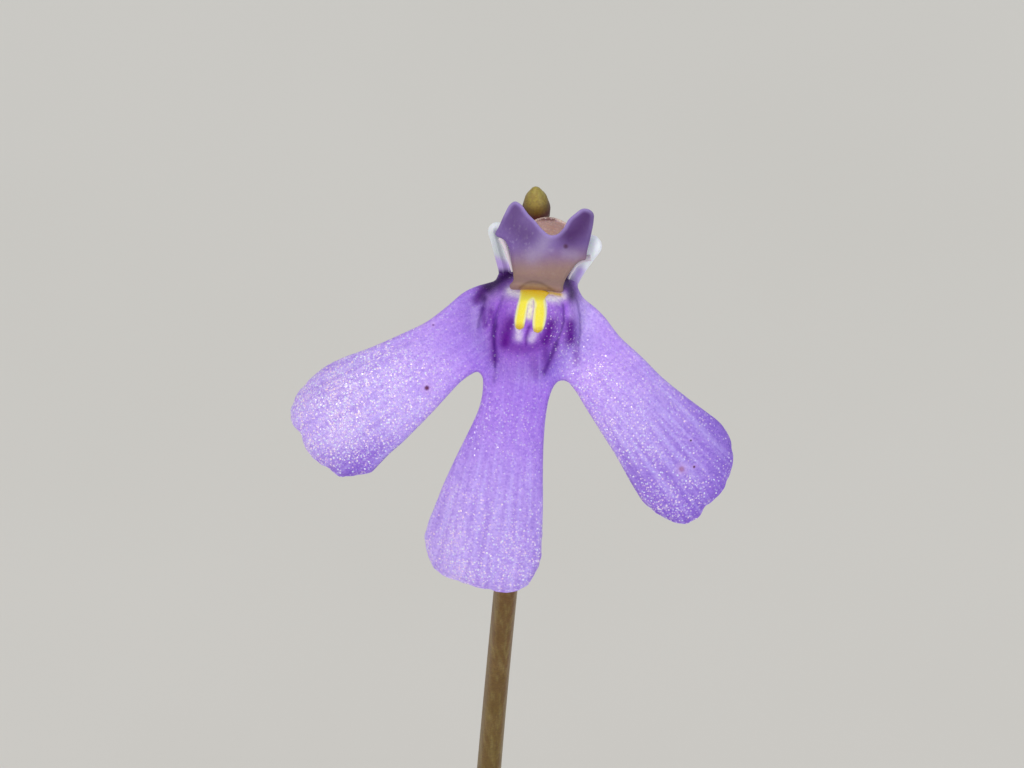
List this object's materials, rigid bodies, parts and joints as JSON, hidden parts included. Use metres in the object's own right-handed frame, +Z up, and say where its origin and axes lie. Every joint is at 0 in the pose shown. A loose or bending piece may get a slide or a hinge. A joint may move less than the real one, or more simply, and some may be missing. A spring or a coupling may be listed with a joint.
{
  "type": "potted bladderwort",
  "caption": "Small carnivorous plant in a round tapered pot: creeping stolons with narrow leaves and bladder traps, a thread-like stem, and a violet flower with a three-lobed lip.",
  "frame": {"origin": "centre of the pot's foot, on the surface it stands on", "axes": "+Z up along the pot's axis, -Y towards the side the flower faces, +X to the right of a viewer facing the flower"},
  "size_m": [0.06, 0.06, 0.1374],
  "materials": {
    "pot": "moulded plastic, slightly satin",
    "soil": "moist peat with pale sand grains",
    "foliage": "thin fresh leaf, waxy",
    "stem": "fresh stem, smooth",
    "bud": "fresh bud, smooth",
    "calyx": "fleshy sepals, glistening",
    "corolla": "petal with glittering surface cells",
    "collar": "fleshy white petal rim, glossy",
    "palate_spot": "velvety yellow petal swelling"
  },
  "bodies": {
    "root": {"pot": "pot", "soil": "soil", "basal_leaves": "foliage", "flower_stem": "stem", "flower_bud": "bud", "calyx": "calyx", "corolla": "corolla", "corolla_collar": "collar", "palate_spot": "palate_spot", "leafy_stolon_1": "foliage", "leafy_stolon_2": "foliage", "leafy_stolon_3": "foliage", "leafy_stolon_4": "foliage", "leafy_stolon_5": "foliage", "leafy_stolon_6": "foliage", "leafy_stolon_7": "foliage", "leafy_stolon_8": "foliage"}
  },
  "joints": []
}
